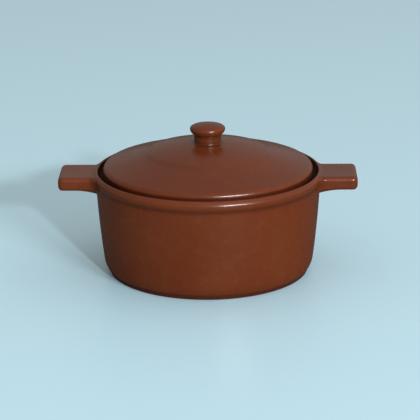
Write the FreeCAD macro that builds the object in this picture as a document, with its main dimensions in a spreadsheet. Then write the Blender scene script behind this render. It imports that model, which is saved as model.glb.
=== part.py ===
import FreeCAD, Part
import Sketcher
import math
import os
import re

# A round stoneware casserole: a deep pot with two tab handles under its rim, and a domed lid
# with a knob, which sinks into the rim and rests on a ledge inside it. Millimetres, +Z up,
# handles along X. The origin is the middle of the face that the foot ring stands on.

SIZES = {
    # Pot
    "rim_height": 102.5,        # crest of the rim above the table
    "rim_radius": 113.7,        # outside of the rolled rim
    "rim_width": 4.0,           # lip of the rim, across its top
    "rim_outer_round": 3.0,
    "rim_inner_round": 0.9,
    "bead_height": 11.3,        # crest to the line where the rolled rim meets the wall
    "bead_overhang": 2.3,       # how far the rolled rim stands proud of the wall
    "bead_slope": 2.3,          # height of the rolled rim's slanted underside
    "bead_round": 4.0,
    "cove_round": 3.0,
    "wall_thickness": 5.8,
    "wall_bow": 940.0,          # radius of the slight outward curve of the wall, seen from the side
    "corner_radius": 23.2,      # turn from wall to base, outside
    "corner_centre": 16.8,      # height of the centre of that turn
    "corner_inside": 18.0,      # turn from wall to floor, inside
    "foot_radius": 99.5,
    "foot_height": 6.5,
    "foot_width": 9.0,
    "foot_inset": 3.0,          # how far the foot ring stands in from the body above it
    "foot_recess": 2.5,         # hollow under the base, inside the foot ring
    "foot_round": 1.2,
    "floor_thickness": 6.5,
    # Ledge inside the rim
    "ledge_depth": 8.0,         # crest of the rim down to the ledge
    "ledge_width": 12.2,
    "ledge_thickness": 4.5,
    "ledge_underside": 9.0,     # height of the slope under the ledge
    "ledge_root_round": 2.0,
    "ledge_lip_round": 1.5,
    "ledge_wall_round": 6.0,
    # Handles
    "handle_reach": 34.0,       # outside of the rolled rim to the end of a handle
    "handle_width": 52.0,
    "handle_thickness": 13.5,
    "handle_drop": 2.0,         # crest of the rim down to the top of a handle
    "handle_edge_round": 3.6,
    "handle_corner_round": 7.0,
    "handle_bite": 0.9,         # how far a handle runs into the wall behind the rolled rim
    "lip_cover": 0.4,           # clay left between the root of a handle and the lip
    "handle_flare": 7.5,        # sweep of a handle's sides into the pot, seen from above
    "underside_radius": 75.0,   # sweep of a handle's underside into the wall
    "underside_run": 22.5,
    # Lid
    "lid_gap": 5.6,             # lip of the rim to the edge of the lid
    "lid_edge": 12.6,           # height of the lid's edge, up to where its slope would meet it
    "lid_edge_round": 3.5,
    "lid_seat_round": 1.2,
    "lid_slope": 17.6,          # degrees
    "lid_thickness": 6.5,
    "step_radius": 58.5,        # top of the soft step round the middle of the lid
    "step_run": 5.5,
    "step_rise": 2.2,
    "step_round": 14.0,
    "dome_rise": 8.0,           # top of the step to the top of the dome
    "guide_clearance": 2.0,     # ring under the lid to the ledge that it drops into
    "guide_width": 5.0,
    "guide_depth": 4.5,
    "guide_round": 1.5,
    "ceiling_round": 4.0,
    # Knob
    "neck_radius": 13.0,
    "neck_height": 6.0,         # top of the dome to the underside of the cap
    "neck_base_round": 4.5,
    "neck_top_round": 1.0,
    "cap_base_radius": 15.9,
    "cap_base_rise": 0.8,
    "cap_radius": 18.5,
    "cap_side": 10.0,
    "cap_crown": 2.4,           # rise of the cap's top from its edge to its middle
    "cap_base_round": 1.8,
    "cap_round": 4.0,
}

doc = FreeCAD.newDocument("casserole")
sheet = doc.addObject("Spreadsheet::Sheet", "Sizes")
for row, (name, value) in enumerate(SIZES.items(), start=1):
    sheet.set(f"A{row}", name)
    sheet.set(f"B{row}", str(value))
    sheet.setAlias(f"B{row}", name)
doc.recompute()


def formula(text):
    """Formula of sizes, with the sheet's name put before each of them."""
    return re.sub("[a-z_]+", lambda word: ("Sizes." if word[0] in SIZES else "") + word[0], text)


def size(text):
    """Value of a formula of sizes, as a plain number."""
    return float(sheet.evalExpression(formula(text.removeprefix("about"))))


def new_sketch(body, name, plane):
    """Empty sketch on one of the body's own origin planes."""
    sketch = body.newObject("Sketcher::SketchObject", name)
    support = [item for item in body.Origin.OriginFeatures if item.Role == plane][0]
    sketch.AttachmentSupport = [(support, "")]
    sketch.MapMode = "FlatFace"
    return sketch


def bind(sketch, kind, *where, to):
    """Dimension of a sketch that follows a formula of sizes."""
    index = sketch.addConstraint(Sketcher.Constraint(kind, *where, size(to)))
    sketch.setExpression(f"Constraints[{index}]", formula(to))


def place(sketch, edge, end, x, y):
    """Hold one end of an edge at two formulas of sizes, apart from any that starts with about."""
    for kind, axis, text in (("DistanceX", -2, x), ("DistanceY", -1, y)):
        if text == "0":
            sketch.addConstraint(Sketcher.Constraint("PointOnObject", edge, end, axis))
        elif not text.startswith("about"):
            bind(sketch, kind, -1, 1, edge, end, to=text)


def arc_through(start, end, radius, side):
    """Arc between two points, bulging to the right of the way from one to the other, or to the
    left where side is -1."""
    chord = end - start
    half = chord.Length / 2
    bulge = radius - math.sqrt(max(radius * radius - half * half, 0))
    across = FreeCAD.Vector(chord.y, -chord.x, 0).normalize() * side * bulge
    return Part.Arc(start, (start + end) / 2 + across, end)


def outline(sketch, corners, curves, smooth=()):
    """Closed outline through corners, each (name, x, y), where about before a formula leaves that
    direction to the other constraints. A side that is a curve is named in curves, by the corner
    where it starts, with its radius and side. At a corner named in smooth the two sides are tangent.
    Returns each side's edge by the name of its first corner, with the numbers of its two ends."""
    points = [FreeCAD.Vector(size(x), size(y), 0) for name, x, y in corners]
    edges = {}
    for number, (name, x, y) in enumerate(corners):
        start = points[number]
        end = points[(number + 1) % len(points)]
        if name in curves:
            radius, side = curves[name]
            edge = sketch.addGeometry(arc_through(start, end, size(radius), side), False)
        else:
            edge = sketch.addGeometry(Part.LineSegment(start, end), False)
        to_ends = [sketch.getPoint(edge, which).distanceToPoint(start) for which in (1, 2)]
        edges[name] = (edge, 1, 2) if to_ends[0] < to_ends[1] else (edge, 2, 1)
    for number, (name, x, y) in enumerate(corners):
        edge, first, last = edges[name]
        after_name = corners[(number + 1) % len(corners)][0]
        after, after_first, after_last = edges[after_name]
        kind = "Tangent" if after_name in smooth else "Coincident"
        sketch.addConstraint(Sketcher.Constraint(kind, edge, last, after, after_first))
        place(sketch, edge, first, x, y)
        if name in curves:
            bind(sketch, "Radius", edge, to=curves[name][0])
    return edges


def hold_centres(sketch, edge, height, inner, outer):
    """Centre of one arc held at a height, and two others made to share one centre. A sketch counts
    an arc's centre as its third point."""
    bind(sketch, "DistanceY", -1, 1, edge, 3, to=height)
    sketch.addConstraint(Sketcher.Constraint("Coincident", inner, 3, outer, 3))


def revolve(body, name, sketch, kind="PartDesign::Revolution"):
    """Full turn of a sketch about the upright axis."""
    feature = body.newObject(kind, name)
    feature.Profile = sketch
    feature.ReferenceAxis = (sketch, ["V_Axis"])
    feature.Angle = 360
    doc.recompute()
    return feature


def ring_edge(shape, radius, height):
    """Name of the round edge about the upright axis that is nearest to a radius and a height."""
    best = None
    for number, edge in enumerate(shape.Edges, start=1):
        if not edge.Degenerated and isinstance(edge.Curve, Part.Circle):
            centre = edge.Curve.Center
            miss = abs(edge.Curve.Radius - radius) + abs(centre.z - height) + math.hypot(centre.x, centre.y)
            if best is None or miss < best[0]:
                best = (miss, f"Edge{number}")
    return best[1]


def round_edges(body, base, name, radius, edges):
    """Fillet whose radius is one of the sizes."""
    feature = body.newObject("PartDesign::Fillet", name)
    feature.Base = (base, edges)
    feature.Radius = size(radius)
    feature.setExpression("Radius", formula(radius))
    doc.recompute()
    return feature


def round_rings(body, base, name, radius, places):
    """Fillet of round edges, each found by formulas of its radius and height."""
    edges = [ring_edge(base.Shape, size(across), size(up)) for across, up in places]
    return round_edges(body, base, name, radius, edges)


# The pot's wall, base, rolled rim and inner ledge are one turned section.
LIP = "rim_radius - rim_width"
LEDGE = "rim_height - ledge_depth"
LEDGE_EDGE = "rim_radius - rim_width - ledge_width"
FOOT_INSIDE = "foot_radius - foot_width"
BODY_EDGE = "foot_radius + foot_inset"
WALL_TOP = "rim_radius - bead_overhang"
BEAD_FOOT = "rim_height - bead_height"
BEAD_SIDE = "rim_height - bead_height + bead_slope"
LEDGE_BOTTOM = "rim_height - ledge_depth - ledge_thickness"
SLOPE_FOOT = "rim_height - ledge_depth - ledge_thickness - ledge_underside"
FLOOR = "foot_recess + floor_thickness"

vessel = doc.addObject("PartDesign::Body", "Vessel")
section = new_sketch(vessel, "VesselSection", "XZ_Plane")
edges = outline(
    section,
    [
        ("base", "0", "foot_recess"),
        ("foot_inner_wall", FOOT_INSIDE, "foot_recess"),
        ("foot_face", FOOT_INSIDE, "0"),
        ("foot_outer_wall", "foot_radius", "0"),
        ("foot_shoulder", "foot_radius", "foot_height"),
        ("turn", BODY_EDGE, "foot_height"),
        ("wall", "about foot_radius + foot_inset + 2", "about corner_centre - 3"),
        ("bead_underside", WALL_TOP, BEAD_FOOT),
        ("bead", "rim_radius", BEAD_SIDE),
        ("crest", "rim_radius", "rim_height"),
        ("lip", LIP, "rim_height"),
        ("ledge", LIP, LEDGE),
        ("ledge_lip", LEDGE_EDGE, LEDGE),
        ("ledge_underside", LEDGE_EDGE, LEDGE_BOTTOM),
        ("inner_wall", "about rim_radius - bead_overhang - wall_thickness", SLOPE_FOOT),
        ("inner_turn", "about foot_radius - foot_inset", "about corner_inside + foot_recess + 5"),
        ("floor", "about foot_radius - corner_inside", FLOOR),
        ("axis", "0", FLOOR),
    ],
    {
        "turn": ("corner_radius", 1),
        "wall": ("wall_bow", 1),
        "inner_wall": ("wall_bow - wall_thickness", -1),
        "inner_turn": ("corner_inside", -1),
    },
    smooth=("wall", "inner_turn", "floor"),
)
hold_centres(section, edges["turn"][0], "corner_centre", edges["inner_wall"][0], edges["wall"][0])
doc.recompute()
turned = revolve(vessel, "VesselTurned", section)
turned = round_rings(vessel, turned, "RimOuterRound", "rim_outer_round", [("rim_radius", "rim_height")])
turned = round_rings(vessel, turned, "RimInnerRound", "rim_inner_round", [(LIP, "rim_height")])
turned = round_rings(vessel, turned, "BeadRound", "bead_round", [("rim_radius", BEAD_SIDE)])
turned = round_rings(vessel, turned, "CoveRound", "cove_round", [(WALL_TOP, BEAD_FOOT)])
turned = round_rings(vessel, turned, "LedgeRootRound", "ledge_root_round", [(LIP, LEDGE)])
turned = round_rings(
    vessel, turned, "LedgeLipRound", "ledge_lip_round", [(LEDGE_EDGE, LEDGE), (LEDGE_EDGE, LEDGE_BOTTOM)]
)
turned = round_rings(
    vessel, turned, "LedgeWallRound", "ledge_wall_round",
    [("rim_radius - bead_overhang - wall_thickness", SLOPE_FOOT)],
)
turned = round_rings(
    vessel, turned, "FootRound", "foot_round",
    [("foot_radius", "0"), (FOOT_INSIDE, "0"), (FOOT_INSIDE, "foot_recess"), ("foot_radius", "foot_height"),
     (BODY_EDGE, "foot_height")],
)

# Each handle is a flat tab, pressed on under the rolled rim before firing. Its sides sweep out
# into the pot, further out where they meet the rolled rim, and its underside curves down into the
# wall all round. The blank runs on inside the wall, so that its edges are rounded past the joint,
# and what would stand in the pot is turned off.
HANDLE_END = "(rim_radius + handle_reach)"
HANDLE_TOP = "rim_height - handle_drop"
HANDLE_UNDER = "(rim_height - handle_drop - handle_thickness)"
BLANK_BOTTOM = "rim_height - handle_drop - handle_thickness - underside_run"
RIM_ROOT = "(rim_radius - handle_bite)"
WALL_ROOT = "(rim_radius - bead_overhang - handle_bite)"
CLEARED = "rim_radius - rim_width + lip_cover"
FLARE_SIDE = "(handle_width / 2 + handle_flare)"
BLANK_SIDE = "(handle_width / 2 + handle_flare * 2)"
UNDER_START = "(rim_radius - bead_overhang + underside_run)"
UNDER_INSIDE = f"({WALL_ROOT} - handle_thickness / 2)"
UNDER_DROP = f"(underside_radius - sqrt(underside_radius^2 - ({UNDER_START} - {UNDER_INSIDE})^2))"


def handle_plan(body, name, height, root):
    """One handle seen from above, at a height, with its sides sweeping into a circle round the
    pot's middle, whose radius is root."""
    centre_across = f"sqrt(({root} + handle_flare)^2 - {FLARE_SIDE}^2)"
    share = f"{root} / ({root} + handle_flare)"
    root_across = f"{centre_across} * {share}"
    root_side = f"{FLARE_SIDE} * {share}"
    blank_across = f"sqrt({root}^2 - {BLANK_SIDE}^2)"
    blank_inside = f"sqrt({WALL_ROOT}^2 - {BLANK_SIDE}^2) - handle_thickness"
    plan = new_sketch(body, name, "XY_Plane")
    plan.setExpression("AttachmentOffset.Base.z", formula(height))
    outline(
        plan,
        [
            ("front_inside", blank_inside, "-" + BLANK_SIDE),
            ("front_wall", blank_across, "-" + BLANK_SIDE),
            ("front_flare", root_across, "-" + root_side),
            ("front", centre_across, "-handle_width / 2"),
            ("end", HANDLE_END, "-handle_width / 2"),
            ("back", HANDLE_END, "handle_width / 2"),
            ("back_flare", centre_across, "handle_width / 2"),
            ("back_wall", root_across, root_side),
            ("back_inside", blank_across, BLANK_SIDE),
            ("inside", blank_inside, BLANK_SIDE),
        ],
        {
            "front_wall": (root, 1),
            "front_flare": ("handle_flare", -1),
            "back_flare": ("handle_flare", -1),
            "back_wall": (root, 1),
        },
    )
    return plan


handles = doc.addObject("PartDesign::Body", "Handles")
plans = [
    handle_plan(handles, "HandlePlanTop", HANDLE_TOP, RIM_ROOT),
    handle_plan(handles, "HandlePlanBead", BEAD_SIDE, RIM_ROOT),
    handle_plan(handles, "HandlePlanWall", BEAD_FOOT, WALL_ROOT),
    handle_plan(handles, "HandlePlanBottom", BLANK_BOTTOM, WALL_ROOT),
]
doc.recompute()
blank = handles.newObject("PartDesign::AdditiveLoft", "HandleBlank")
blank.Profile = plans[0]
blank.Sections = plans[1:]
blank.Ruled = True
doc.recompute()
pair = handles.newObject("PartDesign::Mirrored", "HandlePair")
pair.Originals = [blank]
pair.MirrorPlane = ([item for item in handles.Origin.OriginFeatures if item.Role == "YZ_Plane"][0], [""])
handles.Tip = pair
doc.recompute()
under = new_sketch(handles, "HandleUnderside", "XZ_Plane")
outline(
    under,
    [
        ("bottom", UNDER_INSIDE, BLANK_BOTTOM + " - handle_thickness"),
        ("outside", HANDLE_END + " + handle_width", BLANK_BOTTOM + " - handle_thickness"),
        ("flat", HANDLE_END + " + handle_width", HANDLE_UNDER),
        ("sweep", UNDER_START, HANDLE_UNDER),
        ("inside", UNDER_INSIDE, f"{HANDLE_UNDER} - {UNDER_DROP}"),
    ],
    {"sweep": ("underside_radius", 1)},
)
undercut = revolve(handles, "HandleUndercut", under, "PartDesign::Groove")


def handle_corners(shape):
    """Upright edges at the ends of the handles."""
    reach = size(HANDLE_END)
    names = []
    for number, edge in enumerate(shape.Edges, start=1):
        box = edge.BoundBox
        upright = box.XLength < 0.01 and box.YLength < 0.01
        if upright and abs(abs(box.Center.x) - reach) < 0.01:
            names.append(f"Edge{number}")
    return names


def handle_rims(shape):
    """Edges round the top and the underside of each handle, back to where its blank ends."""
    root = size(WALL_ROOT)
    side = size(BLANK_SIDE)
    levels = (size(HANDLE_TOP), size(HANDLE_UNDER))
    names = []
    for number, edge in enumerate(shape.Edges, start=1):
        ends = [vertex.Point for vertex in edge.Vertexes]
        upright = abs(ends[0].z - ends[-1].z) > 0.9 * edge.Length
        middle = edge.valueAt((edge.FirstParameter + edge.LastParameter) / 2)
        outside = math.hypot(middle.x, middle.y) > root - 0.01
        between = levels[1] + 0.01 < middle.z < levels[0] - 0.01
        if not upright and not between and outside and abs(middle.y) < side - 0.01:
            names.append(f"Edge{number}")
    return names


corners = handle_corners(undercut.Shape)
rounded = round_edges(handles, undercut, "HandleCorners", "handle_corner_round", corners)
rims = handle_rims(rounded.Shape)
rounded = round_edges(handles, rounded, "HandleEdges", "handle_edge_round", rims)
clearing = new_sketch(handles, "HandleClearing", "XZ_Plane")
outline(
    clearing,
    [
        ("bottom", "0", BLANK_BOTTOM + " - handle_thickness"),
        ("outside", CLEARED, BLANK_BOTTOM + " - handle_thickness"),
        ("top", CLEARED, "rim_height"),
        ("axis", "0", "rim_height"),
    ],
    {},
)
revolve(handles, "HandleCleared", clearing, "PartDesign::Groove")
pot = doc.addObject("Part::Fuse", "Pot")
pot.Label = "pot"
pot.Base = vessel
pot.Tool = handles
pot.Refine = True
doc.recompute()

# The lid is one turned section too: an edge that rests on the ledge, a guide ring that drops
# inside it, a sloping side with a soft step, a dome and a knob. Its own heights start at the seat.
LID_RADIUS = "rim_radius - rim_width - lid_gap"
GUIDE_RADIUS = "(rim_radius - rim_width - ledge_width - guide_clearance)"
GUIDE_INSIDE = "(rim_radius - rim_width - ledge_width - guide_clearance - guide_width)"
STEP_FOOT_RADIUS = "step_radius + step_run"
STEP_FOOT = f"lid_edge + ({LID_RADIUS} - step_radius - step_run) * tan(lid_slope)"
STEP_TOP = STEP_FOOT + " + step_rise"
DOME_TOP = STEP_TOP + " + dome_rise"
DOME_BEND = "((step_radius^2 + dome_rise^2) / (2 * dome_rise))"
NECK_FOOT = f"{DOME_TOP} - {DOME_BEND} + sqrt({DOME_BEND}^2 - neck_radius^2)"
CEILING_TOP = DOME_TOP + " - lid_thickness"
CEILING_EDGE = f"lid_edge + ({LID_RADIUS} - {GUIDE_INSIDE}) * tan(lid_slope) - lid_thickness / cos(lid_slope)"
CEILING_FALL = f"({CEILING_TOP} - ({CEILING_EDGE}))"
CEILING_BEND = f"({GUIDE_INSIDE}^2 + {CEILING_FALL}^2) / (2 * {CEILING_FALL})"
CAP_FOOT = DOME_TOP + " + neck_height"
CAP_SIDE_FOOT = CAP_FOOT + " + cap_base_rise"
CAP_EDGE = CAP_SIDE_FOOT + " + cap_side"
CROWN_BEND = "(cap_radius^2 + cap_crown^2) / (2 * cap_crown)"

lid = doc.addObject("PartDesign::Body", "Lid")
lid.Label = "lid"
lid.setExpression("Placement.Base.z", formula(LEDGE))
lid_section = new_sketch(lid, "LidSection", "XZ_Plane")
outline(
    lid_section,
    [
        ("ceiling", "0", CEILING_TOP),
        ("guide_inner_wall", GUIDE_INSIDE, CEILING_EDGE),
        ("guide_end", GUIDE_INSIDE, "-guide_depth"),
        ("guide_outer_wall", GUIDE_RADIUS, "-guide_depth"),
        ("seat", GUIDE_RADIUS, "0"),
        ("edge", LID_RADIUS, "0"),
        ("slope", LID_RADIUS, "lid_edge"),
        ("step", STEP_FOOT_RADIUS, STEP_FOOT),
        ("dome", "step_radius", STEP_TOP),
        ("neck", "neck_radius", NECK_FOOT),
        ("cap_underside", "neck_radius", CAP_FOOT),
        ("cap_side", "cap_base_radius", CAP_SIDE_FOOT),
        ("crown", "cap_radius", CAP_EDGE),
        ("axis", "0", CAP_EDGE + " + cap_crown"),
    ],
    {
        "ceiling": (CEILING_BEND, -1),
        "dome": (DOME_BEND, 1),
        "crown": (CROWN_BEND, 1),
    },
)
doc.recompute()
turned = revolve(lid, "LidTurned", lid_section)
for name, radius, places in (
    ("EdgeRound", "lid_edge_round", [(LID_RADIUS, "lid_edge")]),
    ("SeatRound", "lid_seat_round", [(LID_RADIUS, "0")]),
    ("StepRound", "step_round", [(STEP_FOOT_RADIUS, STEP_FOOT), ("step_radius", STEP_TOP)]),
    ("NeckBaseRound", "neck_base_round", [("neck_radius", NECK_FOOT)]),
    ("NeckTopRound", "neck_top_round", [("neck_radius", CAP_FOOT)]),
    ("CapBaseRound", "cap_base_round", [("cap_base_radius", CAP_SIDE_FOOT)]),
    ("CapRound", "cap_round", [("cap_radius", CAP_EDGE)]),
    ("GuideRound", "guide_round", [(GUIDE_RADIUS, "-guide_depth"), (GUIDE_INSIDE, "-guide_depth")]),
    ("CeilingRound", "ceiling_round", [(GUIDE_INSIDE, CEILING_EDGE)]),
):
    turned = round_rings(lid, turned, name, radius, places)

doc.recompute()
for item in doc.Objects:
    if "Invalid" in item.State or "Error" in item.State:
        raise RuntimeError(f"{item.Name} did not build: {item.State}")
    if item.TypeId == "Sketcher::SketchObject" and not item.FullyConstrained:
        raise RuntimeError(f"{item.Name} has a corner that no size holds")
os.makedirs("parts", exist_ok=True)
for piece in (pot, lid):
    shape = piece.Shape
    if shape.isNull() or not shape.isValid() or len(shape.Solids) != 1:
        raise RuntimeError(f"{piece.Label} is not one sound solid")
    print(f"{piece.Label}: {shape.Volume / 1000:.1f} cubic centimetres, {len(shape.Faces)} faces")
for piece in (pot, lid):
    piece.Shape.exportStep(f"parts/{piece.Label}.step")
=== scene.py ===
import math

import bpy
import numpy as np
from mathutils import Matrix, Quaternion, Vector


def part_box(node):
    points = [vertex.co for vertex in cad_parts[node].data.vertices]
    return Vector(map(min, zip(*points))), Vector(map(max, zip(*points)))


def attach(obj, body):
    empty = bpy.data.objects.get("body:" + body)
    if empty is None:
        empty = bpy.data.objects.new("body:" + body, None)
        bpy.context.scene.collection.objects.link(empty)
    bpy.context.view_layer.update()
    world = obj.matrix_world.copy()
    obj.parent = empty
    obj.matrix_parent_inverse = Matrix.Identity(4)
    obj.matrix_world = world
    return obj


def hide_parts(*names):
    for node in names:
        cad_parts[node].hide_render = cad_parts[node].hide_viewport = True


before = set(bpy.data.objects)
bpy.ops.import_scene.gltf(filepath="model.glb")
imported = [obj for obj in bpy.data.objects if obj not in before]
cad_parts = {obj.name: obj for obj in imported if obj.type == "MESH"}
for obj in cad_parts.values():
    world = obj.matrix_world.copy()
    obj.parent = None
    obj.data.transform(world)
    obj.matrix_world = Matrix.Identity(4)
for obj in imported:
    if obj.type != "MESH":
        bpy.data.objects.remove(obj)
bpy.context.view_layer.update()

# The pot is one piece of dark red stoneware: a deep turned body with a rolled rim, a sunk ledge
# inside the rim for the lid, and a foot ring. Two flat tab handles are pressed on under the rim
# while the clay is wet and smoothed into it, and the whole is dipped in one satin brown glaze.
MM = 0.001  # sizes are written in millimetres
rim_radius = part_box("pot")[1].y / MM
rim_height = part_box("pot")[1].z / MM
handle_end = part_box("pot")[1].x / MM
lip_width = 4.0
lip_fall = 3.9
lip_lean = 2.3
lip_round = 4.5
lip_outer_edge = 1.2
lip_inner_edge = 0.9
bead_height = 11.3
bead_overhang = 2.3
bead_slope = 4.4
bead_round = 6.0
bead_foot_round = 3.0
wall_thickness = 5.8
wall_bow = 940.0
turn_end = (104.72, 13.85)
turn_bow = 21.7
foot_radius = 99.5
foot_width = 9.0
foot_height = 4.5
foot_inset = 1.7
foot_recess = 2.5
foot_round = 1.0
floor_height = 9.0
floor_radius = 82.36
inner_turn_end = (100.23, 24.91)
inner_turn_bow = 18.0
inner_wall_round = 6.0
ledge_depth = 8.0
ledge_width = 12.2
ledge_thickness = 4.5
ledge_slope = 9.0
ledge_round = 1.5
ledge_back_round = 2.0

lip_radius = rim_radius - lip_width
wall_top = rim_radius - bead_overhang
bead_foot = rim_height - bead_height
ledge_height = rim_height - ledge_depth
ledge_radius = lip_radius - ledge_width
inner_wall_top = ledge_height - ledge_thickness - ledge_slope

# Each corner: its distance from the axis, its height, the radius of its round, and the radius of
# the run that starts there, which bulges to the right of the way, or to the left below 0.
pot_corners = [
    (0, foot_recess, 0, 0),
    (foot_radius - foot_width, foot_recess, foot_round, 0),
    (foot_radius - foot_width, 0, foot_round, 0),
    (foot_radius, 0, foot_round, 0),
    (foot_radius, foot_height, foot_round, 0),
    (foot_radius + foot_inset, foot_height, foot_round, turn_bow),
    (*turn_end, 0, wall_bow),
    (wall_top, bead_foot, bead_foot_round, 0),
    (rim_radius, bead_foot + bead_slope, bead_round, 0),
    (rim_radius, rim_height - lip_fall, lip_round, 0),
    (rim_radius - lip_lean, rim_height, lip_outer_edge, 0),
    (lip_radius, rim_height, lip_inner_edge, 0),
    (lip_radius, ledge_height, ledge_back_round, 0),
    (ledge_radius, ledge_height, ledge_round, 0),
    (ledge_radius, ledge_height - ledge_thickness, ledge_round, 0),
    (wall_top - wall_thickness, inner_wall_top, inner_wall_round, wall_thickness - wall_bow),
    (*inner_turn_end, 0, -inner_turn_bow),
    (floor_radius, floor_height, 0, 0),
    (0, floor_height, 0, 0),
]


def run_between(start, end, bow):
    """The run from one corner to the next, as a function of the way along it that gives the point
    and the heading there: a circle's arc about the middle of the chord, whose half angle is the arc
    sine of half the chord over the radius. A bow of 0 is a straight run. Also gives its length."""
    chord = end - start
    reach = np.hypot(*chord)
    ahead = chord / reach
    right = np.array([ahead[1], -ahead[0]])
    bend = 1 / bow if bow else 1e-9
    half = math.asin(reach * bend / 2)
    length = 2 * half / bend

    def at(way):
        angle = bend * (np.asarray(way)[..., None] - length / 2)
        point = (
            (start + end) / 2
            + ahead * np.sin(angle) / bend
            + right * (np.cos(angle) - math.cos(half)) / bend
        )
        return point, ahead * np.cos(angle) - right * np.sin(angle)

    return at, length


def turned_outline(corners, spacing):
    """The section of a turned piece, from the axis and back to it. Each corner gives way to a curve
    that leaves one run and joins the next along their own headings: a cubic whose pull at each end
    is 4/3 of the tangent of a quarter of the turn, times the radius. The points are the spacing
    apart, three times as far on a level run, and a round has one for about every 11 degrees."""
    corners = np.array(corners, float)
    places, rounds, bows = corners[:, :2], corners[:, 2], corners[:, 3]
    runs = [run_between(*pair) for pair in zip(places[:-1], places[1:], bows[:-1])]
    trims = np.zeros(len(corners))
    for number in np.flatnonzero(rounds):
        (before, before_length), (after, _) = runs[number - 1], runs[number]
        turn = math.acos(np.dot(before(before_length)[1], after(0.0)[1]))
        trims[number] = rounds[number] * math.tan(turn / 2)
    points = []
    for number, (run, length) in enumerate(runs):
        level = abs(places[number + 1, 1] - places[number, 1]) < 0.01
        first, last = trims[number], length - trims[number + 1]
        count = max(1, round((last - first) / (3 * spacing if level else spacing)))
        points.append(run(np.linspace(first, last, count + 1))[0])
        if number + 1 < len(runs) and rounds[number + 1]:
            leave, leaving = run(last)
            meet, meeting = runs[number + 1][0](trims[number + 1])
            turn = math.acos(np.dot(leaving, meeting))
            pull = 4 / 3 * math.tan(turn / 4) * rounds[number + 1]
            steps = max(3, round(math.degrees(turn) / 11))
            t = np.linspace(0, 1, steps + 1)[1:-1, None]
            points.append(
                (1 - t) ** 3 * leave
                + 3 * (1 - t) ** 2 * t * (leave + leaving * pull)
                + 3 * (1 - t) * t**2 * (meet - meeting * pull)
                + t**3 * meet
            )
    points = np.concatenate(points)
    apart = np.hypot(*np.diff(points, axis=0).T) > 1e-6
    return points[np.append(True, apart)]


def turned_grid(section, angles):
    """A section carried round the upright axis. Every point of it but the two on the axis makes a
    ring, with one column for each angle: x and y are its distance times the angle's cosine and
    sine. Gives the points, their numbers and the four-sided faces as arrays of rings by columns,
    and then the triangles that close the two poles."""
    rings, columns = len(section) - 2, len(angles)
    radius, height = section[1:-1, :1], section[1:-1, 1:]
    x, y, z = radius * np.cos(angles), radius * np.sin(angles), height + 0 * angles
    poles = [[0, 0, section[0, 1]], [0, 0, section[-1, 1]]]
    points = np.concatenate([np.stack([x, y, z], axis=-1).reshape(-1, 3), poles])
    index = np.arange(rings * columns).reshape(rings, columns)
    after = np.roll(index, -1, axis=1)
    quads = np.stack([index[:-1], after[:-1], after[1:], index[1:]], axis=-1)
    first, last = rings * columns, rings * columns + 1
    bottom = np.stack([np.full(columns, first), after[0], index[0]], axis=-1)
    top = np.stack([np.full(columns, last), index[-1], after[-1]], axis=-1)
    return points, index, quads, np.concatenate([bottom, top])


def make_piece(name, points, quads, triangles):
    """A smooth-shaded mesh object from points in millimetres and faces of four and three corners.
    Points that no face uses are left out."""
    corners = np.concatenate([quads.ravel(), triangles.ravel()])
    used, corners = np.unique(corners, return_inverse=True)
    starts = [np.arange(len(quads)) * 4, quads.size + np.arange(len(triangles)) * 3]
    mesh = bpy.data.meshes.new(name)
    mesh.vertices.add(len(used))
    mesh.vertices.foreach_set("co", (points[used] * MM).ravel())
    mesh.loops.add(len(corners))
    mesh.loops.foreach_set("vertex_index", corners.ravel())
    mesh.polygons.add(len(quads) + len(triangles))
    mesh.polygons.foreach_set("loop_start", np.concatenate(starts))
    mesh.update(calc_edges=True)
    mesh.validate()
    mesh.shade_smooth()
    piece = bpy.data.objects.new(name, mesh)
    bpy.context.scene.collection.objects.link(piece)
    return piece


# The handles are worked out on the pot's own grid: it has a four-sided hole where each one stands,
# and rings of points go from the edge of that hole out along the handle to its end.
handle_half_width = 26.0
handle_thickness = 13.5
handle_drop = 2.0
handle_edge = 4.0
handle_end_edge = 1.5
handle_corner = 5.5
under_bow = 75.0
under_reach = 22.5
flare_out = 6.0
top_blend = 3.5
under_blend = 1.4
root_half_angle = math.radians(16.8)
root_bottom = 82.2
root_top = 102.2
ring_spacing = 2.6
fine_spacing = 0.8
root_columns = 48
plain_columns = 120
blend_rings = 14
straight_rings = 14
end_rings = 10
edge_points = 4

handle_top = rim_height - handle_drop
handle_under = handle_top - handle_thickness
under_start = wall_top + under_reach
crest = rim_height - 0.001
outside = turned_outline(pot_corners, fine_spacing)
outside = outside[:np.argmax(outside[:, 1] > crest) + 1]
outside = outside[np.argmax(outside[:, 1] > foot_height + foot_round):]


def wall_radius(height):
    """The distance of the pot's outside from the axis, read off its fine outline at a height."""
    return np.interp(height, outside[:, 1], outside[:, 0])


def ring_of_tab(across, up):
    """Once round a rectangle with rounded corners, clockwise seen from the handle's end: across is
    the number of points on its top and on its underside, and up that on each side. Gives where each
    point's round has its centre, from -1 to 1 both ways, and which way the point lies from it."""
    right, left, over, under = (1, 0), (-1, 0), (0, 1), (0, -1)
    sides = [(over, right, across), (right, under, up), (under, left, across), (left, over, up)]
    centres, ways = [], []
    for out, along, count in sides:
        step = np.arange(count)
        flat = count - 2 * edge_points
        place = 2 * np.clip((step - edge_points) / flat, 0, 1) - 1
        turn = np.clip(step / edge_points, 0, 1) - 1
        turn = turn + np.clip((step - edge_points - flat) / edge_points, 0, 1)
        angle = np.radians(45) * turn
        centres.append(np.outer(place, along) + out)
        ways.append(np.outer(np.cos(angle), out) + np.outer(np.sin(angle), along))
    return np.concatenate(centres), np.concatenate(ways)


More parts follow.
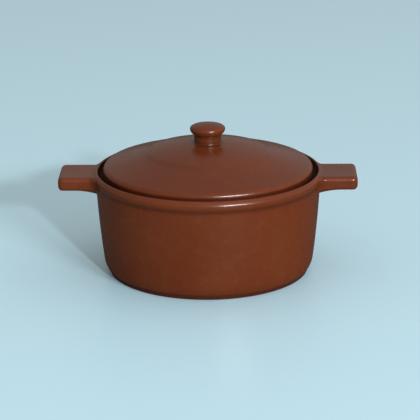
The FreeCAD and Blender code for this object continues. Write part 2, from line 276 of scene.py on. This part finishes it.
def handle_rings(edge, across, up):
    """Rings of points from the edge of the hole in the pot out to the handle's end. Near the pot a
    point is the tab's own outline plus what is left of its way from the hole's edge, 1 - sin(a),
    at a distance from the pot's surface of its blend times 1 - cos(a), which is a quarter circle.
    That distance moves the outline a little, so the two are worked out in turn, four times.
    Then the tab runs straight, and at its end its width and height close in by quarter circles.
    Its underside is a circle's arc that falls towards the wall."""
    centres, ways = ring_of_tab(across, up)
    steep = ways[:, 1] ** 2
    blend = flare_out * (1 - steep) + np.where(ways[:, 1] > 0, top_blend, under_blend) * steep

    def tab(x, radius):
        over = np.clip((x - handle_end + handle_corner) / handle_corner, 0, 1)
        half_width = handle_half_width - handle_corner * (1 - np.sqrt(1 - over**2))
        closing = np.sqrt(1 - np.clip((x - handle_end + handle_edge) / handle_edge, 0, 1) ** 2)
        shut = handle_edge * (1 - closing)
        edge_round = handle_end_edge + (handle_edge - handle_end_edge) * closing
        inward = np.clip(under_start - radius, 0, None)
        bottom = handle_under - (under_bow - np.sqrt(under_bow**2 - inward**2)) + shut
        top = handle_top - shut
        half_height = (top - bottom) / 2 - edge_round
        y = centres[:, 0] * (half_width - edge_round) + ways[:, 0] * edge_round
        z = (top + bottom) / 2 + centres[:, 1] * half_height + ways[:, 1] * edge_round
        return y, z

    angle = np.radians(np.linspace(0, 90, blend_rings + 1))[1:, None]
    distance = blend * (1 - np.cos(angle))
    start_y, start_z = tab(0.0, wall_radius(handle_under))
    radius = wall_radius(handle_under) + distance
    for _ in range(4):
        y, z = tab(0.0, radius)
        z = z + (edge[:, 2] - start_z) * (1 - np.sin(angle))
        radius = wall_radius(z) + distance
    y = y + (edge[:, 1] - start_y) * (1 - np.sin(angle))
    root = np.stack([np.sqrt(radius**2 - y**2), y, z], axis=-1)

    straight = np.linspace(0, 1, straight_rings + 1)[1:, None]
    angle = np.radians(np.linspace(0, 90, end_rings + 1))[1:, None]
    x = root[-1, :, 0] + (handle_end - handle_corner - root[-1, :, 0]) * straight
    closing_x = handle_end - handle_corner + handle_corner * np.sin(angle) + 0 * blend
    x = np.concatenate([x, closing_x])
    y = tab(x, x)[0]
    z = tab(x, np.hypot(x, y))[1]
    return np.concatenate([root, np.stack([x, y, z], axis=-1)])


def add_handle(points, quads, edge_index, across, up, turn):
    """One handle's faces, on the ring of pot points that its hole leaves open: four-sided faces
    from each ring to the next, and a flat grid over the end whose columns and rows start at the
    last ring's points. turn is -1 for the handle on the other side, which is the same one given
    half a turn about the axis."""
    spin = np.array([turn, turn, 1])
    rings = handle_rings(points[edge_index] * spin, across, up)
    count = rings.shape[1]
    ring_index = len(points) + np.arange(len(rings) * count).reshape(-1, count)
    ring_index = np.concatenate([edge_index[None], ring_index])
    after = np.roll(ring_index, -1, axis=1)
    skin = np.stack([ring_index[:-1], ring_index[1:], after[1:], after[:-1]], axis=-1)

    last, last_index = rings[-1], ring_index[-1]
    inner = np.zeros((up - 1, across - 1, 3))
    inner[..., 0] = handle_end
    inner[..., 1] = last[1:across, 1]
    inner[..., 2] = last[across + 1:across + up, 2][:, None]
    inner_index = len(points) + rings.size // 3 + np.arange(inner.size // 3)
    end_index = np.zeros((up + 1, across + 1), int)
    end_index[0, :] = last_index[:across + 1]
    end_index[:, across] = last_index[across:across + up + 1]
    end_index[up, ::-1] = last_index[across + up:2 * across + up + 1]
    end_index[1:, 0] = last_index[:2 * across + up - 1:-1]
    end_index[1:-1, 1:-1] = inner_index.reshape(up - 1, across - 1)
    above, below = end_index[:-1], end_index[1:]
    cap = np.stack([below[:, :-1], below[:, 1:], above[:, 1:], above[:, :-1]], axis=-1)
    points = np.concatenate([points, rings.reshape(-1, 3) * spin, inner.reshape(-1, 3) * spin])
    return points, np.concatenate([quads, skin.reshape(-1, 4), cap.reshape(-1, 4)])


section = turned_outline(pot_corners, ring_spacing)
outer = section[1:np.argmax(section[:, 1] > crest)]
off_root = np.abs(outer[:, 1] - np.array([[root_bottom], [root_top]]))
low_ring, high_ring = np.where(outer[:, 0] > foot_radius, off_root, np.inf).argmin(axis=1)
root_rows = int(high_ring - low_ring)
handle_arc = np.linspace(-root_half_angle, root_half_angle, root_columns + 1)[:-1]
plain_arc = np.linspace(root_half_angle, math.pi - root_half_angle, plain_columns + 1)[:-1]
half_turn = np.concatenate([handle_arc, plain_arc])
all_round = np.concatenate([half_turn, half_turn + math.pi])
points, ring_index, quads, triangles = turned_grid(section, all_round)
columns = np.arange(root_columns)
open_faces = np.zeros(quads.shape[:2], bool)
edges = []
for start in (0, len(half_turn)):
    open_faces[low_ring:high_ring, start:start + root_columns] = True
    edges.append(np.concatenate([
        ring_index[high_ring, start + columns],
        ring_index[low_ring + 1:high_ring + 1, start + root_columns][::-1],
        ring_index[low_ring, start + 1 + columns][::-1],
        ring_index[low_ring:high_ring, start],
    ]))
quads = quads[~open_faces]
for edge_index, turn in zip(edges, (1, -1)):
    points, quads = add_handle(points, quads, edge_index, root_columns, root_rows, turn)
pot = make_piece("glazed_pot", points, quads, triangles)

# The glaze's colours and gloss. A dark clay colour stands both for bare clay and for painted shade.
# Up to the shade limit it is painted shade on the glossy glaze, low on the foot and on the lid's
# side in the gap. Above it the clay is bare and turns matte, in the seat inside the rim, where
# it also paints the shade of the gap.
GLAZE_DEEP = (0.106, 0.0196, 0.0038, 1)
GLAZE_WARM = (0.117, 0.0230, 0.0046, 1)
GLAZE_LIGHT = (0.140, 0.036, 0.010, 1)
GLAZE_DARK = (0.040, 0.008, 0.003, 1)
GLAZE_EDGE = (0.140, 0.034, 0.010, 1)
GLAZE_SPECULAR = 0.5
CLAY_AND_SHADE_COLOUR = (0.050, 0.0095, 0.0035, 1)
BARE_ROUGHNESS = 1.0
SHADE_LIMIT = 0.8

# Noise scales per metre, each with its detail: clouds of 60 mm, patches of 11 mm, grain of 1.4 mm
# and specks of 0.7 mm.
CLOUDS = (16, 2)
PATCHES = (90, 4)
GRAIN = (700, 3)
SPECKS = (1500, 1)

# Where a value starts and stops to act, and what comes out at the two ends.
WARM_CLOUDS = (0.3, 0.7, 0, 1)
LIGHT_PATCHES = (0.45, 0.75, 0, 0.15)
DARK_GRAIN = (0.5, 0.8, 0, 0.4)
DARK_SPECKS = (0.68, 0.74, 0, 0.6)
THIN_EDGES = (0.1, 0.9, 0, 0.15)
POOLED_AND_SHADED_HOLLOWS = (0.05, 0.8, 0, 0.55)
CLAY_GRAIN = (0.4, 0.7, 0, 1)
CLAY_OR_SHADE_SPAN = (0, 1, 0, 1)
MATTE_CLAY = (SHADE_LIMIT, 1.0, 0, 1)
GLAZE_ROUGHNESS = (0.3, 0.7, 0.23, 0.28)
RIPPLE = {"Strength": 0.25, "Distance": 0.004}
SKIN = {"Strength": 0.12, "Distance": 0.0004}


def mark_glaze(piece, bare_or_shaded):
    """Three values on each point, for the glaze to read: how thin it has run off an outward edge,
    how thick it has gathered in a hollow, which also paints the shade that falls there, and the
    mark of bare clay and painted shade. Along each edge of the mesh the surface turns by the
    change of its normal over the edge's length, of 0.1 mm at least. The sharpest turn at a point
    counts, averaged three times with the points beside it, and a third of a radian for each
    millimetre counts in full. The last argument gives each point's mark of bare clay and painted
    shade from its distance to the axis and its height."""
    mesh = piece.data

    def read(items, name, width, kind=float):
        values = np.zeros(len(items) * width, kind)
        items.foreach_get(name, values)
        return values.reshape(-1, width)

    def mark(name, value):
        attribute = mesh.attributes.new(name, "FLOAT", "POINT")
        attribute.data.foreach_set("value", np.clip(value, 0, 1))

    place = read(mesh.vertices, "co", 3) / MM
    normal = read(mesh.vertex_normals, "vector", 3)
    one, other = read(mesh.edges, "vertices", 2, int).T
    count = len(place)
    apart = place[other] - place[one]
    turn = ((normal[other] - normal[one]) * apart).sum(1) / np.maximum((apart**2).sum(1), 0.01)
    beside = np.bincount(one, minlength=count) + np.bincount(other, minlength=count)
    for name, sign in (("glaze_thin", 1), ("glaze_pooled_and_shaded", -1)):
        value = np.zeros(count)
        np.maximum.at(value, one, sign * turn)
        np.maximum.at(value, other, sign * turn)
        for _ in range(3):
            total = np.bincount(one, value[other], count) + np.bincount(other, value[one], count)
            value = (value + total / beside) / 2
        mark(name, value * 3)
    mark("clay_and_painted_shade", bare_or_shaded(np.hypot(place[:, 0], place[:, 1]), place[:, 2]))


def glaze(name, shift):
    """Satin red-brown glaze: a warm clay colour that shows through where the glaze is thin, a
    darker one where it is thick in hollows, which also paints the shade there, cloudy patches, fine
    iron specks, and the faint unevenness of a dipped surface. Where the mark of bare clay and
    painted shade is set, a dark clay colour shows: painted shade low on the foot and in the gap
    under the lid, and bare matte clay in the seat inside the rim. shift moves the cloud pattern, so
    that no two pieces match."""
    material = bpy.data.materials.new(name)
    material.use_nodes = True
    tree = material.node_tree
    shader = tree.nodes["Principled BSDF"]

    def add(kind, inputs=(), **settings):
        node = tree.nodes.new("ShaderNode" + kind)
        for key, value in settings.items():
            setattr(node, key, value)
        for socket, value in dict(inputs).items():
            if isinstance(value, bpy.types.NodeSocket):
                tree.links.new(value, node.inputs[socket])
            else:
                node.inputs[socket].default_value = value
        return node

    def blend_in(below, above, amount):
        return add("Mix", {0: amount, 6: below, 7: above}, data_type="RGBA").outputs[2]

    def span(value, low, high, to_low, to_high):
        inputs = {0: value, 1: low, 2: high, 3: to_low, 4: to_high}
        return add("MapRange", inputs, interpolation_type="SMOOTHSTEP").outputs[0]

    def marked(name):
        return add("Attribute", attribute_name=name).outputs["Fac"]

    where = add("Mapping", {"Vector": add("TexCoord").outputs["Object"], "Location": shift})

    def noise(scale, detail):
        inputs = {"Vector": where.outputs[0], "Scale": scale, "Detail": detail}
        return add("TexNoise", inputs).outputs[0]

    clouds, patches, grain = noise(*CLOUDS), noise(*PATCHES), noise(*GRAIN)
    bare_or_shade_mark = marked("clay_and_painted_shade")
    colour = blend_in(GLAZE_DEEP, GLAZE_WARM, span(clouds, *WARM_CLOUDS))
    colour = blend_in(colour, GLAZE_LIGHT, span(patches, *LIGHT_PATCHES))
    colour = blend_in(colour, GLAZE_DARK, span(grain, *DARK_GRAIN))
    colour = blend_in(colour, GLAZE_DARK, span(noise(*SPECKS), *DARK_SPECKS))
    colour = blend_in(colour, GLAZE_EDGE, span(marked("glaze_thin"), *THIN_EDGES))
    # Hollows are darker, partly as glaze pooled thick and partly as painted shade that falls in
    # them.
    colour = blend_in(colour, GLAZE_DARK, span(marked("glaze_pooled_and_shaded"), *POOLED_AND_SHADED_HOLLOWS))
    # Dark clay colour: painted shade low on the foot and in the gap under the lid, and bare clay in
    # the seat inside the rim.
    clay_and_shade = blend_in(CLAY_AND_SHADE_COLOUR, GLAZE_DARK, span(grain, *CLAY_GRAIN))
    colour = blend_in(colour, clay_and_shade, span(bare_or_shade_mark, *CLAY_OR_SHADE_SPAN))
    tree.links.new(colour, shader.inputs["Base Color"])

    gloss = {0: span(bare_or_shade_mark, *MATTE_CLAY), 2: span(patches, *GLAZE_ROUGHNESS), 3: BARE_ROUGHNESS}
    tree.links.new(add("Mix", gloss, data_type="FLOAT").outputs[0], shader.inputs["Roughness"])
    shader.inputs["Specular IOR Level"].default_value = GLAZE_SPECULAR
    ripple = add("Bump", {**RIPPLE, "Height": clouds})
    skin = add("Bump", {**SKIN, "Height": grain, "Normal": ripple.outputs[0]})
    tree.links.new(skin.outputs[0], shader.inputs["Normal"])
    return material


# Heights for the painted shade on the foot and for the bare, shaded seat inside the rim.
foot_shade_height = foot_height + 2.0
bare_and_shaded_below_rim = 1.0
pot_shift = (0.0, 0.0, 0.0)


def pot_bare_or_shaded(radius, height):
    """The foot ring is painted darker towards the bottom, as shade where it meets the worktop: this
    grows from 0 at its top height by the way down over that height, to the shade limit at most.
    Inside the rim the clay is bare and painted dark as the shade of the gap, from just under the
    lip
    to the foot of the slope under the ledge: how far a point lies within those two bounds, in
    millimetres, and twice its distance inwards from the lip plus 1, whichever is least. The greater
    of the two counts."""
    foot = np.clip((foot_shade_height - height) / foot_shade_height, 0, SHADE_LIMIT)
    seat = np.minimum(rim_height - bare_and_shaded_below_rim - height, height - inner_wall_top)
    return np.maximum(foot, np.minimum(seat, 2 * (lip_radius - radius) + 1.0))


mark_glaze(pot, pot_bare_or_shaded)
pot.data.materials.append(glaze("pot glaze", pot_shift))
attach(pot, "root")
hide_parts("pot")

# The lid is one turned piece of the same clay and glaze: a sloping side, a soft step, a dome and a
# knob on a waisted neck. Its edge rests on the ledge inside the rim, and a ring under it drops
# inside the ledge, so that the lid can't slide.
lid_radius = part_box("lid")[1].x / MM
lid_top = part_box("lid")[1].z / MM
guide_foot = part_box("lid")[0].z / MM
guide_gap = 2.0
guide_width = 5.0
guide_round = 1.5
seat_inner_round = 0.6
seat_round = 1.2
edge_rise = 12.6
edge_round = 5.0
slope = math.tan(math.radians(17.6))
step_radius = 58.5
step_run = 5.5
step_rise = 2.4
step_round = 9.0
dome_rise = 8.0
lid_thickness = 6.5
ceiling_round = 4.0
neck_radius = 13.4
neck_base_round = 1.2
neck_top_drop = 0.8
neck_top_round = 1.0
cap_radius = 18.5
cap_base = 15.4
cap_base_round = 1.8
cap_crown = 3.4
cap_side = 6.3
cap_bow = 16.0
cap_round = 6.5
lid_spacing = 1.6
lid_columns = 288
# Where the painted shade low on the lid's edge starts, and how fast it grows.
lid_shade_start = 3.0
lid_shade_fade = 1.2
lid_shift = (0.31, 0.17, 0.05)


def arc_radius(half_width, rise):
    """The radius of an arc that rises so much over half its chord: the sum of the squares of the
    two, over twice the rise."""
    return (half_width**2 + rise**2) / (2 * rise)


guide_radius = ledge_radius - guide_gap
guide_inside = guide_radius - guide_width
edge_height = ledge_height + edge_rise
step_foot = edge_height + (lid_radius - step_radius - step_run) * slope
dome_bow = arc_radius(step_radius, dome_rise)
dome_top = step_foot + step_rise + dome_rise
neck_foot = dome_top - dome_bow + math.sqrt(dome_bow**2 - neck_radius**2)
ceiling = dome_top - lid_thickness
ceiling_edge = edge_height + (lid_radius - guide_inside) * slope
ceiling_edge -= lid_thickness * math.hypot(1, slope)
cap_edge = lid_top - cap_crown
cap_foot = cap_edge - cap_side
lid_corners = [
    (0, ceiling, 0, -arc_radius(guide_inside, ceiling - ceiling_edge)),
    (guide_inside, ceiling_edge, ceiling_round, 0),
    (guide_inside, guide_foot, guide_round, 0),
    (guide_radius, guide_foot, guide_round, 0),
    (guide_radius, ledge_height, seat_inner_round, 0),
    (lid_radius, ledge_height, seat_round, 0),
    (lid_radius, edge_height, edge_round, 0),
    (step_radius + step_run, step_foot, step_round, 0),
    (step_radius, step_foot + step_rise, step_round, dome_bow),
    (neck_radius, neck_foot, neck_base_round, 0),
    (neck_radius, cap_foot - neck_top_drop, neck_top_round, 0),
    (cap_base, cap_foot, cap_base_round, cap_bow),
    (cap_radius, cap_edge, cap_round, arc_radius(cap_radius, cap_crown)),
    (0, lid_top, 0, 0),
]


def lid_painted_shade(radius, height):
    """Painted shade low on the lid's edge, where it stands in the gap. It starts a little under the
    edge's height and grows to the shade limit over about the next millimetre down."""
    return np.clip((edge_height - lid_shade_start - height) / lid_shade_fade, 0, SHADE_LIMIT)


section = turned_outline(lid_corners, lid_spacing)
all_round = np.linspace(0, 2 * math.pi, lid_columns + 1)[:-1]
points, _, quads, triangles = turned_grid(section, all_round)
lid = make_piece("glazed_lid", points, quads.reshape(-1, 4), triangles)
mark_glaze(lid, lid_painted_shade)
lid.data.materials.append(glaze("lid glaze", lid_shift))
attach(lid, "root")
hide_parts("lid")

# The pot stands on a plain pale worktop, smooth enough to show a soft reflection. Glossy rays see
# it darker and without a sheen, so that the glaze keeps its own colour.
TABLE_HALF = 12.0
TABLE_COLOUR = (0.51, 0.757, 0.87, 1)
TABLE_IN_GLAZE = (0.10, 0.09, 0.085, 1)
TABLE_SPECULAR = 0.5
TABLE_IOR = 1.6
TABLE_ROUGHNESS = 0.32
table_mesh = bpy.data.meshes.new("table")
table_corners = [(-1, -1, 0), (1, -1, 0), (1, 1, 0), (-1, 1, 0)]
table_places = [Vector(corner) * TABLE_HALF for corner in table_corners]
table_mesh.from_pydata(table_places, [], [(0, 1, 2, 3)])
table = bpy.data.objects.new("table", table_mesh)
bpy.context.scene.collection.objects.link(table)
table_material = bpy.data.materials.new("worktop")
table_material.use_nodes = True
table_nodes, table_links = table_material.node_tree.nodes, table_material.node_tree.links
worktop = table_nodes["Principled BSDF"]
worktop.inputs["Roughness"].default_value = TABLE_ROUGHNESS
worktop.inputs["IOR"].default_value = TABLE_IOR
in_glaze = table_nodes.new("ShaderNodeLightPath").outputs["Is Glossy Ray"]
tone = table_nodes.new("ShaderNodeMix")
tone.data_type = "RGBA"
table_links.new(in_glaze, tone.inputs[0])
tone.inputs[6].default_value = TABLE_COLOUR
tone.inputs[7].default_value = TABLE_IN_GLAZE
table_links.new(tone.outputs[2], worktop.inputs["Base Color"])
sheen = table_nodes.new("ShaderNodeMapRange")
table_links.new(in_glaze, sheen.inputs[0])
sheen.inputs[3].default_value = TABLE_SPECULAR
sheen.inputs[4].default_value = 0.0
table_links.new(sheen.outputs[0], worktop.inputs["Specular IOR Level"])
table_mesh.materials.append(table_material)

# The pale room lights the pot from all sides, a little more from the right and from above. To
# glossy rays it is equally dim at every height, so that the glaze keeps its own colour.
ROOM_COLOUR = (1.0, 0.98, 0.95, 1)
ROOM_LEFT = 0.42
ROOM_RIGHT = 0.76
ROOM_LOW = 0.42
ROOM_HIGH = 1.3
ROOM_TOP = 0.7
ROOM_IN_GLAZE = 0.5
room = bpy.data.worlds.new("room")
room.use_nodes = True
nodes, links = room.node_tree.nodes, room.node_tree.links
direction = nodes.new("ShaderNodeSeparateXYZ")
links.new(nodes.new("ShaderNodeTexCoord").outputs["Generated"], direction.inputs[0])


def room_range(source, *values):
    """A value of the room's light, from the lowest and highest that goes in and that comes out."""
    ranged = nodes.new("ShaderNodeMapRange")
    for socket, value in enumerate(values, start=1):
        if isinstance(value, bpy.types.NodeSocket):
            links.new(value, ranged.inputs[socket])
        else:
            ranged.inputs[socket].default_value = value
    links.new(source, ranged.inputs[0])
    return ranged.outputs[0]


across = room_range(direction.outputs["X"], -1.0, 1.0, ROOM_LEFT, ROOM_RIGHT)
upward = room_range(direction.outputs["Z"], 0.0, ROOM_TOP, ROOM_LOW, ROOM_HIGH)
in_gloss = nodes.new("ShaderNodeLightPath").outputs["Is Glossy Ray"]
strength = nodes.new("ShaderNodeMath")
strength.operation = "MULTIPLY"
links.new(across, strength.inputs[0])
links.new(room_range(in_gloss, 0.0, 1.0, upward, ROOM_IN_GLAZE), strength.inputs[1])
links.new(strength.outputs[0], nodes["Background"].inputs["Strength"])
nodes["Background"].inputs["Color"].default_value = ROOM_COLOUR
bpy.context.scene.world = room

# Two lamps stand in front and to the right: a small one that gives the shadow its edge, and a
# wide, flat one beside it that softens the shadow.
pot_middle = Vector((0, 0, 0.06))


def soft_lamp(name, place, size, power):
    """An area lamp, so wide and so tall, that faces the middle of the pot."""
    light = bpy.data.lights.new(name, "AREA")
    light.shape = "RECTANGLE"
    light.size, light.size_y = size
    light.energy = power
    lamp = bpy.data.objects.new(name, light)
    lamp.location = place
    lamp.rotation_mode = "QUATERNION"
    lamp.rotation_quaternion = (Vector(place) - pot_middle).to_track_quat("Z", "Y")
    bpy.context.scene.collection.objects.link(lamp)


soft_lamp("key_lamp", place=(1.93, -5.31, 2.06), size=(0.24, 0.24), power=180.0)
soft_lamp("side_lamp", place=(3.06, -4.71, 2.16), size=(1.4, 0.3), power=195.0)

# The camera looks down on the pot a little from the right of its middle, with a long lens, turned
# by half a degree, as the photo was taken.
photo_pixels = 420
focal_pixels = 2000
view_azimuth = math.radians(1.1)
view_elevation = math.radians(17.57)
view_distance = 2.0
view_roll = math.radians(-0.54)
off_centre = (0.00166, -0.0006)
back = Vector((
    math.sin(view_azimuth) * math.cos(view_elevation),
    -math.cos(view_azimuth) * math.cos(view_elevation),
    math.sin(view_elevation),
))
right = Vector((math.cos(view_azimuth), math.sin(view_azimuth), 0))
aim = pot_middle + right * off_centre[0] + back.cross(right) * off_centre[1]
camera_data = bpy.data.cameras.new("camera")
camera_data.lens = camera_data.sensor_width * focal_pixels / photo_pixels
camera = bpy.data.objects.new("camera", camera_data)
camera.location = pot_middle + back * view_distance
camera.rotation_mode = "QUATERNION"
level = (camera.location - aim).to_track_quat("Z", "Y")
camera.rotation_quaternion = level @ Quaternion((0, 0, 1), view_roll)
bpy.context.scene.collection.objects.link(camera)
bpy.context.scene.camera = camera

bpy.context.scene.view_settings.view_transform = "Standard"
